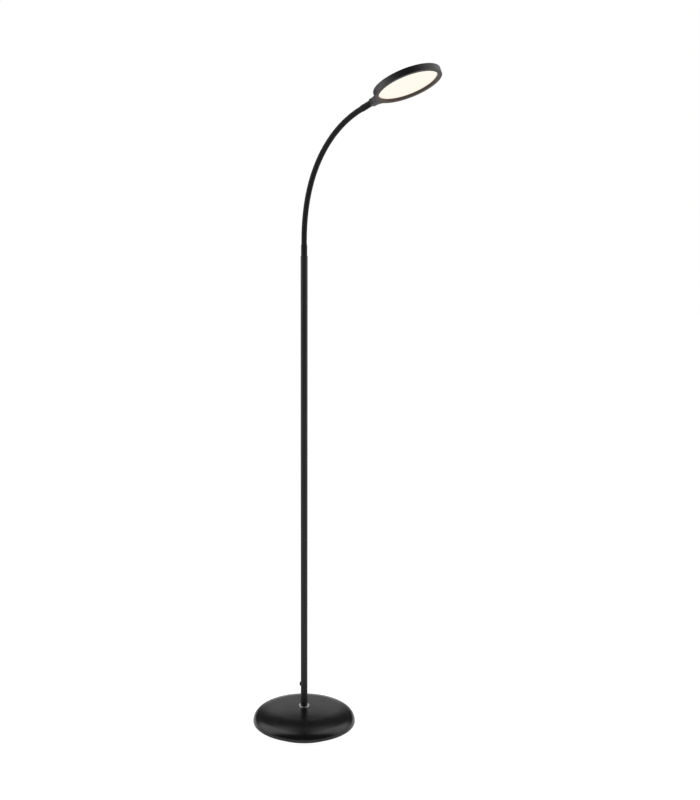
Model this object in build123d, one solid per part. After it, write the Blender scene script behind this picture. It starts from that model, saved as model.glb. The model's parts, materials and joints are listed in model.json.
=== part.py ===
"""A gooseneck reading floor lamp: weighted base, three-piece pole, bendable neck, flat round lamp head.

All sizes are in millimetres and all angles in degrees. The lamp stands on its pad at z = 0, the pole
stands on the Z axis, and the neck leans over in the XZ plane so that the head is on the +X side.
"""

from build123d import *
import math
import os

# ---- Fits -------------------------------------------------------------------------------------
SEAT_GAP = 0.05           # between pieces that are pressed, glued or clamped together
SLIDE_GAP = 0.1           # between pieces that are pushed together by hand
LINK_GAP = 0.3            # between the ball end and the cup end of two neighbouring neck links

# ---- Base -------------------------------------------------------------------------------------
PAD_RADIUS = 94.0
PAD_THICKNESS = 2.5
BASE_RADIUS = 120.0
BASE_HEIGHT = 48.5        # top of the cover above the floor
WIDEST_HEIGHT = 14.5      # height at which the base is widest
SHOULDER_RADIUS = 21.5    # rounding above the widest line
SHOULDER_STEEPEST = 66.0  # lean of the shoulder's outward normal above the floor where the brow begins
BROW_STEEPEST = 83.0      # the same where the brow runs into the crown
COVER_WALL = 1.2
COVER_LIP_HEIGHT = 3.0    # inner end of the turned-in lip above the floor
LIP_ROUNDING = 1.5        # between the widest line and the sloping underside of the lip
COVER_MOUTH_RADIUS = 97.0
BASE_PLATE_THICKNESS = 2.0
WEIGHT_THICKNESS = 15.0
WEIGHT_BOSS_RADIUS = 16.0
PLATE_SCREW_COUNT = 4
PLATE_SCREW_CIRCLE = 78.0
PLATE_SCREW_RADIUS = 2.0
PLATE_SCREW_HEAD_RADIUS = 3.8
PLATE_SCREW_HEAD_HEIGHT = 1.6
PLATE_SCREW_LENGTH = 10.0
STUD_RADIUS = 5.0
STUD_GRIP = 16.0          # how far the stud reaches into the foot insert
NUT_ACROSS_FLATS = 17.0
NUT_HEIGHT = 5.0
WASHER_RADIUS = 13.0
WASHER_THICKNESS = 1.5
NUT_POCKET_RADIUS = 14.0

# ---- Collar at the foot of the pole -----------------------------------------------------------
COLLAR_RADIUS = 13.2
COLLAR_HEIGHT = 2.4
COLLAR_FLOOR = 1.5        # the pole stands on this much metal
COLLAR_ROUNDING = 1.2

# ---- Pole -------------------------------------------------------------------------------------
POLE_RADIUS = 8.0
POLE_WALL = 1.0
SECTION_LENGTH = 350.0
SECTION_CHAMFER = 0.3     # on the outer edge of each end of a section
INSERT_LENGTH = 24.0
JOINER_GRIP = 20.0        # pressed part of each joiner stud
JOINER_REACH = 17.0       # part of each joiner stud that goes into the next section
WIRE_WAY_RADIUS = 3.0     # wire way through inserts and joiners

# ---- Power inlet ------------------------------------------------------------------------------
INLET_HEIGHT = 52.0       # centre of the inlet above the foot of the pole
INLET_BEZEL_RADIUS = 6.0
INLET_STAND_OUT = 1.8
INLET_BEZEL_ROUNDING = 1.4
INLET_BODY_RADIUS = 4.0
INLET_DEPTH = 10.5        # body length behind the pole's surface
INLET_BORE_RADIUS = 2.75
INLET_BORE_DEPTH = 9.0
INLET_PIN_RADIUS = 1.0
INLET_PIN_SETBACK = 1.5   # pin tip behind the mouth

# ---- Driver board inside the pole -------------------------------------------------------------
BOARD_WIDTH = 13.2
BOARD_LENGTH = 60.0
BOARD_THICKNESS = 1.2
BOARD_ABOVE_INLET = 12.0
COIL_SIZE = 5.0
COIL_HEIGHT = 3.2
CAPACITOR_RADIUS = 2.0
CAPACITOR_LENGTH = 9.0
WIRE_RADIUS = 0.6
WIRE_SPREAD = 2.0         # from the board's middle to each inlet wire

# ---- Lead from the driver board to the light --------------------------------------------------
LEAD_RADIUS = 1.5

# ---- Neck -------------------------------------------------------------------------------------
NECK_RADIUS = 6.2
SLEEVE_WALL = 1.2
CORE_WALL = 1.8
LINK_COUNT = 10
LINK_LENGTH = 32.6
FIRST_LINK_TURN = 3.45    # bend of the first link at rest
EXTRA_LINK_TURN = 0.69    # each link bends this much more than the one below it
LOWER_END_LENGTH = 32.0   # straight part on top of the pole
UPPER_END_LENGTH = 28.0   # straight part in front of the lamp head
FLARE_RADIUS = 7.0        # sleeve where it covers a ferrule
FLARE_TAPER = 2.0
FERRULE_WALL = 0.8
FERRULE_LENGTH = 23.0
FERRULE_FLOOR = 2.0
SHANK_RADIUS = 3.5
SHANK_LENGTH = 14.0
SHANK_BORE_RADIUS = 2.0

# ---- Lamp head --------------------------------------------------------------------------------
HEAD_RADIUS = 73.0
HEAD_THICKNESS = 14.0
HEAD_NOD = 3.5            # the head leans down this much from the line of the neck's end
HEAD_WALL = 1.6
HEAD_TOP_ROUNDING = 1.5
HEAD_RIM_ROUNDING = 0.5
TONGUE_LENGTH = 17.0      # from the round head to the neck
TONGUE_HALF_WIDTH = 9.0
TONGUE_FLARE_RADIUS = 16.0
TONGUE_CORNER_RADIUS = 3.0
RIM_WIDTH = 8.0           # between the outside of the head and the visible light panel
PANEL_RECESS = 5.5
BEZEL_FACE_THICKNESS = 1.8
BEZEL_COLLAR_WALL = 1.5
BEZEL_SKIRT_WALL = 0.9
BEZEL_SKIRT_DEPTH = 4.5
DIFFUSER_THICKNESS = 1.5
DIFFUSER_OVERHANG = 1.0   # past the edge of the light guide
GUIDE_THICKNESS = 3.0
REFLECTOR_THICKNESS = 0.3
BACK_PLATE_THICKNESS = 1.0
BACK_PLATE_RIM = 0.8
BACK_PLATE_CLEARANCE = 1.35   # between the pan's rim and the inside of the housing
STRIP_THICKNESS = 0.4
LED_COUNT = 42
LED_WIDTH = 2.8
LED_HEIGHT = 1.4
LED_DEPTH = 0.7
FOAM_PAD_COUNT = 4
FOAM_PAD_RADIUS = 9.0
FOAM_PAD_INSET = 28.0     # from the outside of the head to the middle of each pad
SET_SCREW_RADIUS = 2.0
SET_SCREW_FROM_END = 7.0
SET_SCREW_SUNK = 0.6
LEAD_SLOT_WIDTH = 5.0

# ---- Heights and places that follow from the sizes above --------------------------------------
POLE_FOOT = BASE_HEIGHT + COLLAR_FLOOR
POLE_BORE = POLE_RADIUS - POLE_WALL
PRESSED_RADIUS = POLE_BORE - SEAT_GAP
FIRST_JOINT = POLE_FOOT + SECTION_LENGTH
SECOND_JOINT = FIRST_JOINT + SECTION_LENGTH
POLE_TOP = SECOND_JOINT + SECTION_LENGTH
INLET_Z = POLE_FOOT + INLET_HEIGHT
INLET_MOUTH = POLE_RADIUS + INLET_STAND_OUT
BOARD_BOTTOM = INLET_Z + BOARD_ABOVE_INLET
BOARD_TOP = BOARD_BOTTOM + BOARD_LENGTH
PLATE_TOP = PAD_THICKNESS + BASE_PLATE_THICKNESS
WEIGHT_TOP = PLATE_TOP + WEIGHT_THICKNESS
SLEEVE_BORE = NECK_RADIUS - SLEEVE_WALL
CORE_RADIUS = SLEEVE_BORE - SEAT_GAP
CORE_BORE = CORE_RADIUS - CORE_WALL
CUP_RADIUS = NECK_RADIUS + LINK_GAP
FERRULE_RADIUS = SLEEVE_BORE + FERRULE_WALL
DIFFUSER_FRONT = PANEL_RECESS + SEAT_GAP
GUIDE_FRONT = DIFFUSER_FRONT + DIFFUSER_THICKNESS + SEAT_GAP
REFLECTOR_FRONT = GUIDE_FRONT + GUIDE_THICKNESS + SEAT_GAP
BACK_PLATE_FRONT = REFLECTOR_FRONT + REFLECTOR_THICKNESS + SEAT_GAP
BACK_PLATE_BACK = BACK_PLATE_FRONT + BACK_PLATE_THICKNESS
HEAD_CEILING = HEAD_THICKNESS - HEAD_WALL
PANEL_RADIUS = HEAD_RADIUS - RIM_WIDTH
BACK_PLATE_RADIUS = HEAD_RADIUS - HEAD_WALL - BACK_PLATE_CLEARANCE
STRIP_BACK = BACK_PLATE_RADIUS - BACK_PLATE_RIM - SEAT_GAP
STRIP_FRONT = STRIP_BACK - STRIP_THICKNESS
LED_FRONT = STRIP_FRONT - SEAT_GAP - LED_DEPTH
GUIDE_RADIUS = LED_FRONT - SLIDE_GAP
DIFFUSER_RADIUS = GUIDE_RADIUS + DIFFUSER_OVERHANG
FOAM_PAD_CIRCLE = HEAD_RADIUS - FOAM_PAD_INSET
TONGUE_END = HEAD_RADIUS + TONGUE_LENGTH
MID_THICKNESS = HEAD_THICKNESS / 2
SEAT_STEP = FLARE_RADIUS * math.sin(math.radians(HEAD_NOD))


# ---- Shared shapes ----------------------------------------------------------------------------
def rod(radius, bottom, top):
    """A round bar on the Z axis between two heights."""
    return Pos(0, 0, bottom) * Cylinder(radius, top - bottom, align=(Align.CENTER, Align.CENTER, Align.MIN))


def tube(outer, inner, bottom, top):
    """A round tube on the Z axis between two heights."""
    return rod(outer, bottom, top) - rod(inner, bottom, top)


def cross_rod(radius, start, end, height):
    """A round bar along X between two places, at one height."""
    return Pos(start, 0, height) * Rot(0, 90, 0) * rod(radius, 0, end - start)


def turned(edges):
    """A body of revolution about Z from the edges of its half section, drawn as radius and height."""
    return revolve(Plane.XZ * make_face(edges), Axis.Z)


def around(count, radius):
    """Evenly spaced places on a circle about Z, each facing outwards."""
    return [Rot(0, 0, 360 * k / count) * Pos(radius, 0, 0) for k in range(count)]


# ---- Base -------------------------------------------------------------------------------------
def dome_radii():
    """Radii of the crown and of the brow round it, which together span what the shoulder leaves of the dome."""
    brow, shoulder = math.radians(BROW_STEEPEST), math.radians(SHOULDER_STEEPEST)
    reach = BASE_RADIUS - SHOULDER_RADIUS * (1 - math.cos(shoulder))
    rise = BASE_HEIGHT - WIDEST_HEIGHT - SHOULDER_RADIUS * math.sin(shoulder)
    brow_reach, brow_rise = math.cos(shoulder) - math.cos(brow), math.sin(brow) - math.sin(shoulder)
    crown_reach, crown_rise = math.cos(brow), 1 - math.sin(brow)
    scale = crown_reach * brow_rise - brow_reach * crown_rise
    return (
        (reach * brow_rise - brow_reach * rise) / scale,
        (crown_reach * rise - crown_rise * reach) / scale,
    )


def crown_height(radius, inset):
    """Height of the crown, or of a skin that lies inset under it, at a distance from the axis."""
    crown = dome_radii()[0]
    return BASE_HEIGHT - crown + math.sqrt((crown - inset)**2 - radius**2)


def lip_lean():
    """Angle above the floor at which the underside of the lip rises from its inner end to its rounding."""
    run = BASE_RADIUS - LIP_ROUNDING - COVER_MOUTH_RADIUS
    rise = WIDEST_HEIGHT - COVER_LIP_HEIGHT
    return math.degrees(math.atan2(rise, run) - math.asin(LIP_ROUNDING / math.hypot(run, rise)))


def cover_edges(inset, hole_radius):
    """Half section of the dome skin from its centre hole over crown, brow and shoulder to the turned-in lip."""
    crown_radius, brow_radius = dome_radii()
    crown_centre = Vector(0, BASE_HEIGHT - crown_radius)
    out = Vector(1, 0).rotate(Axis.Z, BROW_STEEPEST)
    brow_centre = crown_centre + out * (crown_radius - brow_radius)
    shoulder_centre = Vector(BASE_RADIUS - SHOULDER_RADIUS, WIDEST_HEIGHT)
    hole = math.degrees(math.acos(hole_radius / (crown_radius - inset)))
    lean = lip_lean()
    crown = CenterArc(crown_centre, crown_radius - inset, hole, BROW_STEEPEST - hole)
    brow = CenterArc(brow_centre, brow_radius - inset, BROW_STEEPEST, SHOULDER_STEEPEST - BROW_STEEPEST)
    shoulder = CenterArc(shoulder_centre, SHOULDER_RADIUS - inset, SHOULDER_STEEPEST, -SHOULDER_STEEPEST)
    rounding = CenterArc((BASE_RADIUS - LIP_ROUNDING, WIDEST_HEIGHT), LIP_ROUNDING - inset, 0, lean - 90)
    mouth = (COVER_MOUTH_RADIUS, COVER_LIP_HEIGHT + inset / math.cos(math.radians(lean)))
    underside = Line(rounding @ 1, mouth)
    return crown, brow, shoulder, rounding, underside


def base_cover():
    """Pressed steel dome with a turned-in lip and a hole for the stud."""
    hole_radius = STUD_RADIUS + SLIDE_GAP
    outer = cover_edges(0, hole_radius)
    inner = cover_edges(COVER_WALL, hole_radius)
    hole_wall = Line(outer[0] @ 0, inner[0] @ 0)
    lip_edge = Line(outer[4] @ 1, inner[4] @ 1)
    return turned([*outer, *inner, hole_wall, lip_edge])


def base_weight():
    """Cast iron disc with a boss that carries the dome at its centre."""
    boss_top = crown_height(WEIGHT_BOSS_RADIUS, COVER_WALL) - SEAT_GAP
    disc = rod(COVER_MOUTH_RADIUS - SLIDE_GAP, PLATE_TOP, WEIGHT_TOP)
    boss = rod(WEIGHT_BOSS_RADIUS, WEIGHT_TOP, boss_top)
    pocket = rod(NUT_POCKET_RADIUS, PLATE_TOP, PLATE_TOP + NUT_HEIGHT + WASHER_THICKNESS + SLIDE_GAP)
    stud_hole = rod(STUD_RADIUS + SLIDE_GAP, PLATE_TOP, boss_top)
    screw_holes = plate_screw_shanks(PLATE_SCREW_RADIUS + SEAT_GAP, SEAT_GAP)
    return disc + boss - pocket - stud_hole - screw_holes


def plate_screw_shanks(radius, extra):
    """The shanks of the plate screws, or their holes with some extra size."""
    tip = PAD_THICKNESS + PLATE_SCREW_LENGTH + extra
    return [place * rod(radius, PAD_THICKNESS, tip) for place in around(PLATE_SCREW_COUNT, PLATE_SCREW_CIRCLE)]


def plate_screw_heads(gap):
    """The countersunk heads of the plate screws, or their seats with a gap."""
    head_top = PAD_THICKNESS + PLATE_SCREW_HEAD_HEIGHT + gap
    wide = PLATE_SCREW_HEAD_RADIUS + gap
    head = turned(
        Polyline(
            (0, PAD_THICKNESS),
            (wide, PAD_THICKNESS),
            (PLATE_SCREW_RADIUS + gap, head_top),
            (0, head_top),
            close=True,
        ).edges()
    )
    return [place * head for place in around(PLATE_SCREW_COUNT, PLATE_SCREW_CIRCLE)]


def base_plate():
    """Flat steel plate that closes the underside, countersunk for its screws."""
    plate = rod(COVER_MOUTH_RADIUS - SLIDE_GAP, PAD_THICKNESS, PLATE_TOP - SEAT_GAP)
    return plate - plate_screw_shanks(PLATE_SCREW_RADIUS + SEAT_GAP, 0) - plate_screw_heads(SEAT_GAP)


def base_plate_screws():
    """Countersunk screws that hold the plate to the weight."""
    pairs = zip(plate_screw_shanks(PLATE_SCREW_RADIUS, 0), plate_screw_heads(0))
    return Compound(children=[(shank + head).solid() for shank, head in pairs])


def base_pad():
    """Soft anti-slip pad under the plate."""
    return rod(PAD_RADIUS, 0, PAD_THICKNESS)


def base_washer():
    """Washer between the nut and the weight."""
    bottom = PLATE_TOP + NUT_HEIGHT
    return tube(WASHER_RADIUS, STUD_RADIUS + SLIDE_GAP, bottom, bottom + WASHER_THICKNESS)


def base_nut():
    """Hexagonal nut under the weight."""
    hexagon = RegularPolygon(NUT_ACROSS_FLATS / 2, 6, major_radius=False)
    blank = Pos(0, 0, PLATE_TOP) * extrude(hexagon, NUT_HEIGHT)
    return blank - rod(STUD_RADIUS + SEAT_GAP, PLATE_TOP, PLATE_TOP + NUT_HEIGHT)


def base_stud():
    """Threaded rod that clamps weight, dome, collar and pole together."""
    return rod(STUD_RADIUS, PLATE_TOP + SEAT_GAP, POLE_FOOT + STUD_GRIP)


def collar_ring():
    """Plated ring at the foot of the pole, with a recess that the pole stands in."""
    top = BASE_HEIGHT + COLLAR_HEIGHT
    blank = rod(COLLAR_RADIUS, BASE_HEIGHT, top)
    blank = fillet(blank.edges().sort_by(Axis.Z)[-1], COLLAR_ROUNDING)
    recess = rod(POLE_RADIUS + SLIDE_GAP, POLE_FOOT, top)
    return blank - recess - rod(STUD_RADIUS + SLIDE_GAP, BASE_HEIGHT, top)


# ---- Pole -------------------------------------------------------------------------------------
def pole_section(bottom):
    """One length of the pole."""
    top = bottom + SECTION_LENGTH
    blank = rod(POLE_RADIUS, bottom, top)
    blank = chamfer(blank.edges().filter_by(GeomType.CIRCLE), SECTION_CHAMFER)
    return blank - rod(POLE_BORE, bottom, top)


def pole_lower():
    """Lowest length of the pole, with the hole for the power inlet on its back."""
    hole = cross_rod(INLET_BODY_RADIUS + SEAT_GAP, -INLET_MOUTH, 0, INLET_Z)
    return pole_section(POLE_FOOT) - hole


def threaded_insert(bottom, grip):
    """Insert pressed into the foot of a section, bored for the stud below it."""
    top = bottom + INSERT_LENGTH
    stud_way = rod(STUD_RADIUS + SEAT_GAP, bottom, bottom + grip + SLIDE_GAP)
    return rod(PRESSED_RADIUS, bottom, top) - stud_way - rod(WIRE_WAY_RADIUS, bottom, top)


def joiner_stud(joint):
    """Stud pressed into the top of a section, which screws into the section above it."""
    pressed = rod(PRESSED_RADIUS, joint - JOINER_GRIP, joint)
    screwed = rod(STUD_RADIUS, joint, joint + JOINER_REACH)
    return pressed + screwed - rod(WIRE_WAY_RADIUS, joint - JOINER_GRIP, joint + JOINER_REACH)


def pole_top_insert():
    """Insert pressed into the top of the pole, bored for the shank of the neck's lower ferrule."""
    bottom = POLE_TOP - INSERT_LENGTH
    shank_way = rod(SHANK_RADIUS + SEAT_GAP, POLE_TOP - SHANK_LENGTH - SLIDE_GAP, POLE_TOP)
    return rod(PRESSED_RADIUS, bottom, POLE_TOP) - shank_way - rod(WIRE_WAY_RADIUS, bottom, POLE_TOP)


# ---- Power inlet and driver -------------------------------------------------------------------
def inlet_housing():
    """Round power socket: a saddle-backed bezel outside the pole and a body inside it."""
    bezel = cross_rod(INLET_BEZEL_RADIUS, -INLET_MOUTH, 0, INLET_Z)
    bezel = fillet(bezel.edges().sort_by(Axis.X)[0], INLET_BEZEL_ROUNDING)
    bezel -= rod(POLE_RADIUS + SEAT_GAP, POLE_FOOT, FIRST_JOINT)
    body = cross_rod(INLET_BODY_RADIUS, INLET_BEZEL_ROUNDING - INLET_MOUTH, INLET_DEPTH - POLE_RADIUS, INLET_Z)
    bore = cross_rod(INLET_BORE_RADIUS, -INLET_MOUTH, INLET_BORE_DEPTH - INLET_MOUTH, INLET_Z)
    pin_seat = cross_rod(INLET_PIN_RADIUS + SEAT_GAP, -INLET_MOUTH, INLET_DEPTH - POLE_RADIUS, INLET_Z)
    return bezel + body - bore - pin_seat


def inlet_pin():
    """Centre contact of the power socket."""
    return cross_rod(INLET_PIN_RADIUS, INLET_PIN_SETBACK - INLET_MOUTH, INLET_DEPTH - POLE_RADIUS, INLET_Z)


def inlet_wires():
    """Two short wires from the back of the power socket up to the driver board."""
    start = INLET_Z + INLET_BODY_RADIUS + SLIDE_GAP
    wire = Pos(BOARD_THICKNESS / 2 + WIRE_RADIUS + SEAT_GAP, 0, 0) * rod(WIRE_RADIUS, start, BOARD_BOTTOM + COIL_SIZE)
    return Compound(children=[(Pos(0, side * WIRE_SPREAD, 0) * wire).solid() for side in (-1, 1)])


def driver_board():
    """Narrow circuit board that stands in the pole, with its coil and capacitor."""
    board = Pos(0, 0, BOARD_BOTTOM + BOARD_LENGTH / 2) * Box(BOARD_THICKNESS, BOARD_WIDTH, BOARD_LENGTH)
    face = BOARD_THICKNESS / 2
    coil_z = BOARD_BOTTOM + 3 * COIL_SIZE
    coil = Pos(face + COIL_HEIGHT / 2, 0, coil_z) * Box(COIL_HEIGHT, COIL_SIZE, COIL_SIZE)
    can_bottom = coil_z + 2 * COIL_SIZE
    can = Pos(face + CAPACITOR_RADIUS / 2, 0, 0) * rod(CAPACITOR_RADIUS, can_bottom, can_bottom + CAPACITOR_LENGTH)
    return board + coil + can


# ---- Neck -------------------------------------------------------------------------------------
def link_turn(index):
    """How far a link bends at rest."""
    return FIRST_LINK_TURN + index * EXTRA_LINK_TURN


def bend_radius(index):
    """Radius of a link's centre line at rest."""
    return LINK_LENGTH / math.radians(link_turn(index))


def stations():
    """The pivots between the links from the pole to the head: x, z and the heading above the horizon."""
    x, z, heading = 0.0, POLE_TOP + LOWER_END_LENGTH, 90.0
    places = [(x, z, heading)]
    for index in range(LINK_COUNT):
        radius = bend_radius(index)
        after = heading - link_turn(index)
        x += radius * (math.sin(math.radians(heading)) - math.sin(math.radians(after)))
        z += radius * (math.cos(math.radians(after)) - math.cos(math.radians(heading)))
        heading = after
        places.append((x, z, heading))
    return places


def along(heading):
    """Unit vector in the XZ plane at an angle above the horizon."""
    return Vector(math.cos(math.radians(heading)), 0, math.sin(math.radians(heading)))


def station_plane(station):
    """Plane across the neck at a pivot, with its normal along the neck towards the head."""
    x, z, heading = station
    return Plane(origin=(x, 0, z), x_dir=(0, 1, 0), z_dir=along(heading))


def ball_end(outer, inner):
    """The part of a neck tube past its pivot: rounded to the ball that fills the next link's cup."""
    shoulder = math.sqrt(NECK_RADIUS**2 - outer**2)
    tip = math.sqrt(NECK_RADIUS**2 - inner**2)
    bow = RadiusArc((outer, shoulder), (inner, tip), -NECK_RADIUS)
    edges = [bow, Line((inner, tip), (inner, 0)), Line((inner, 0), (outer, 0))]
    if shoulder > 0:
        edges.append(Line((outer, 0), (outer, shoulder)))
    return turned(edges)


def bent_tube(index, outer, inner):
    """One link's tube along its curved centre line, with a cup at its start and a ball at its end."""
    start, end = stations()[index:index + 2]
    x, z, heading = start
    radius = bend_radius(index)
    centre = Vector(x, 0, z) + along(heading - 90) * radius
    section = station_plane(start) * (Circle(outer) - Circle(inner))
    curved = revolve(section, Axis(centre, (0, 1, 0)), link_turn(index))
    cup = Pos(x, 0, z) * Sphere(CUP_RADIUS)
    return curved + station_plane(end) * ball_end(outer, inner) - cup


def neck_sleeve(index):
    """Rubber skin of one link."""
    return bent_tube(index, NECK_RADIUS, SLEEVE_BORE)


def neck_core(index):
    """Wound steel core of one link."""
    return bent_tube(index, CORE_RADIUS, CORE_BORE)


def ferrule():
    """Crimped cup on the end of the core, with the shank that goes into its seat below z = 0."""
    cup = rod(FERRULE_RADIUS, 0, FERRULE_LENGTH) - rod(SLEEVE_BORE, FERRULE_FLOOR, FERRULE_LENGTH)
    shank = rod(SHANK_RADIUS, -SHANK_LENGTH, 0)
    return cup + shank - rod(SHANK_BORE_RADIUS, -SHANK_LENGTH, FERRULE_FLOOR)


def end_sleeve(length):
    """Rubber skin over a ferrule: wide there, then tapered to the neck's own size."""
    flare_top = FERRULE_LENGTH + SEAT_GAP
    outline = Polyline(
        (FERRULE_RADIUS + SEAT_GAP, SLIDE_GAP),
        (FLARE_RADIUS, SLIDE_GAP),
        (FLARE_RADIUS, flare_top),
        (NECK_RADIUS, flare_top + FLARE_TAPER),
        (NECK_RADIUS, length),
        (SLEEVE_BORE, length),
        (SLEEVE_BORE, flare_top),
        (FERRULE_RADIUS + SEAT_GAP, flare_top),
        close=True,
    )
    return turned(outline.edges())


def end_core(length):
    """Wound steel core between the bottom of a ferrule and the nearest pivot."""
    return tube(CORE_RADIUS, CORE_BORE, FERRULE_FLOOR + SEAT_GAP, length)


def lower_end(piece, outer, inner):
    """A straight piece on top of the pole, ended with the ball of the first pivot."""
    ball = Pos(0, 0, LOWER_END_LENGTH) * ball_end(outer, inner)
    return Pos(0, 0, POLE_TOP) * (piece + ball)


def upper_seat():
    """Plane at the lamp head's tongue with its normal pointing back along the neck."""
    x, z, heading = stations()[-1]
    seat = Vector(x, 0, z) + along(heading) * UPPER_END_LENGTH
    return Plane(origin=seat, x_dir=(0, 1, 0), z_dir=along(heading) * -1)


def upper_end(piece):
    """A straight piece in front of the lamp head, with the cup of the last pivot."""
    cup = Pos(0, 0, UPPER_END_LENGTH) * Sphere(CUP_RADIUS)
    return upper_seat() * (piece - cup)


# ---- Lamp head --------------------------------------------------------------------------------
def head_plane():
    """Plane of the head's front rim: origin at its centre, X away from the neck, Z to the head's back."""
    heading = stations()[-1][2] - HEAD_NOD
    tongue_face = upper_seat().origin + along(heading + HEAD_NOD) * SEAT_STEP
    centre = tongue_face + along(heading) * TONGUE_END - along(heading + 90) * MID_THICKNESS
    return Plane(origin=centre, x_dir=along(heading), z_dir=along(heading + 90))


def tongue_outline():
    """Outline of the round head with its tongue, which flares smoothly into the round."""
    flare_y = TONGUE_HALF_WIDTH + TONGUE_FLARE_RADIUS
    flare_x = -math.sqrt((HEAD_RADIUS + TONGUE_FLARE_RADIUS)**2 - flare_y**2)
    share = HEAD_RADIUS / (HEAD_RADIUS + TONGUE_FLARE_RADIUS)
    touch = (flare_x * share, flare_y * share)
    side = (flare_x, TONGUE_HALF_WIDTH)
    corner = (-TONGUE_END, TONGUE_HALF_WIDTH)
    mirrored = [(x, -y) for x, y in (touch, side, corner)]
    return make_face(
        [
            ThreePointArc(touch, (HEAD_RADIUS, 0), mirrored[0]),
            RadiusArc(touch, side, TONGUE_FLARE_RADIUS),
            Line(side, corner),
            Line(corner, mirrored[2]),
            Line(mirrored[2], mirrored[1]),
            RadiusArc(mirrored[1], mirrored[0], TONGUE_FLARE_RADIUS),
        ]
    )


def head_housing():
    """Moulded back shell with the tongue that takes the neck."""
    block = extrude(tongue_outline(), HEAD_THICKNESS)
    block = fillet(block.edges().filter_by(Axis.Z).sort_by(Axis.X)[:2], TONGUE_CORNER_RADIUS)
    block = fillet(block.edges().group_by(Axis.Z)[-1], HEAD_TOP_ROUNDING)
    block = fillet(block.edges().group_by(Axis.Z)[0], HEAD_RIM_ROUNDING)
    cavity = rod(HEAD_RADIUS - HEAD_WALL, 0, HEAD_CEILING)
    shank_way = neck_way(SHANK_RADIUS + SEAT_GAP, SHANK_LENGTH + SLIDE_GAP)
    wire_way = neck_way(SHANK_BORE_RADIUS, TONGUE_LENGTH + 2 * HEAD_WALL)
    screw_way = set_screw_place() * rod(SET_SCREW_RADIUS + SEAT_GAP, MID_THICKNESS, HEAD_THICKNESS)
    return block - cavity - shank_way - wire_way - screw_way


def neck_way(radius, depth):
    """A round hole into the tongue along the neck's own line."""
    mouth = Pos(-TONGUE_END, 0, MID_THICKNESS) * Rot(0, -HEAD_NOD, 0)
    return mouth * cross_rod(radius, -radius, depth, 0)


def set_screw_place():
    """Place of the set screw along the tongue."""
    return Pos(SET_SCREW_FROM_END - TONGUE_END, 0, 0)


def neck_set_screw():
    """Set screw that clamps the neck's upper shank in the tongue."""
    lean = math.radians(HEAD_NOD)
    climb = (SET_SCREW_FROM_END + SET_SCREW_RADIUS) * math.tan(lean)
    bottom = MID_THICKNESS + climb + SHANK_RADIUS / math.cos(lean) + SEAT_GAP
    return set_screw_place() * rod(SET_SCREW_RADIUS, bottom, HEAD_THICKNESS - SET_SCREW_SUNK)


def head_bezel():
    """Front ring: a flat face, a collar round the light panel and a skirt inside the housing."""
    outer = HEAD_RADIUS - HEAD_WALL - SEAT_GAP
    face = tube(outer, PANEL_RADIUS, 0, BEZEL_FACE_THICKNESS)
    collar = tube(PANEL_RADIUS + BEZEL_COLLAR_WALL, PANEL_RADIUS, 0, PANEL_RECESS)
    skirt = tube(outer, outer - BEZEL_SKIRT_WALL, 0, BEZEL_SKIRT_DEPTH)
    return face + collar + skirt


def diffuser():
    """Frosted disc that is the visible light panel."""
    return rod(DIFFUSER_RADIUS, DIFFUSER_FRONT, DIFFUSER_FRONT + DIFFUSER_THICKNESS)


def light_guide():
    """Clear disc that spreads the light of the strip over the diffuser."""
    return rod(GUIDE_RADIUS, GUIDE_FRONT, GUIDE_FRONT + GUIDE_THICKNESS)


def reflector_sheet():
    """Thin white sheet behind the light guide."""
    return rod(GUIDE_RADIUS, REFLECTOR_FRONT, REFLECTOR_FRONT + REFLECTOR_THICKNESS)


def lead_slot():
    """Gap in the plate's rim and the strip's ring where the lead comes in."""
    middle = (BACK_PLATE_RADIUS + STRIP_FRONT) / 2
    depth = BACK_PLATE_RADIUS - STRIP_FRONT + 2 * STRIP_THICKNESS
    height = BACK_PLATE_FRONT - GUIDE_FRONT
    return Pos(-middle, 0, GUIDE_FRONT + height / 2) * Box(depth, LEAD_SLOT_WIDTH, height)


def led_strip():
    """Flexible strip that stands round the edge of the light guide, open at the lead."""
    ring = tube(STRIP_BACK, STRIP_FRONT, GUIDE_FRONT, GUIDE_FRONT + GUIDE_THICKNESS)
    return ring - lead_slot()


def led_chips():
    """Light sources on the strip, facing inwards, none at the strip's open ends."""
    middle = GUIDE_FRONT + GUIDE_THICKNESS / 2
    radius = LED_FRONT + LED_DEPTH / 2
    step = 360 / LED_COUNT
    chip = Pos(radius, 0, middle) * Box(LED_DEPTH, LED_WIDTH, LED_HEIGHT)
    return Compound(children=[(Rot(0, 0, 180 + (k + 0.5) * step) * chip).solid() for k in range(LED_COUNT)])


def back_plate():
    """Aluminium pan behind the stack: it takes the strip's heat and its rim carries the strip."""
    disc = rod(BACK_PLATE_RADIUS, BACK_PLATE_FRONT, BACK_PLATE_BACK)
    rim = tube(BACK_PLATE_RADIUS, BACK_PLATE_RADIUS - BACK_PLATE_RIM, GUIDE_FRONT, BACK_PLATE_FRONT)
    return disc + (rim - lead_slot())


def foam_pads():
    """Foam pads that press the stack against the bezel's collar."""
    pad = rod(FOAM_PAD_RADIUS, BACK_PLATE_BACK, HEAD_CEILING)
    return Compound(children=[(place * pad).solid() for place in around(FOAM_PAD_COUNT, FOAM_PAD_CIRCLE)])


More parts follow.
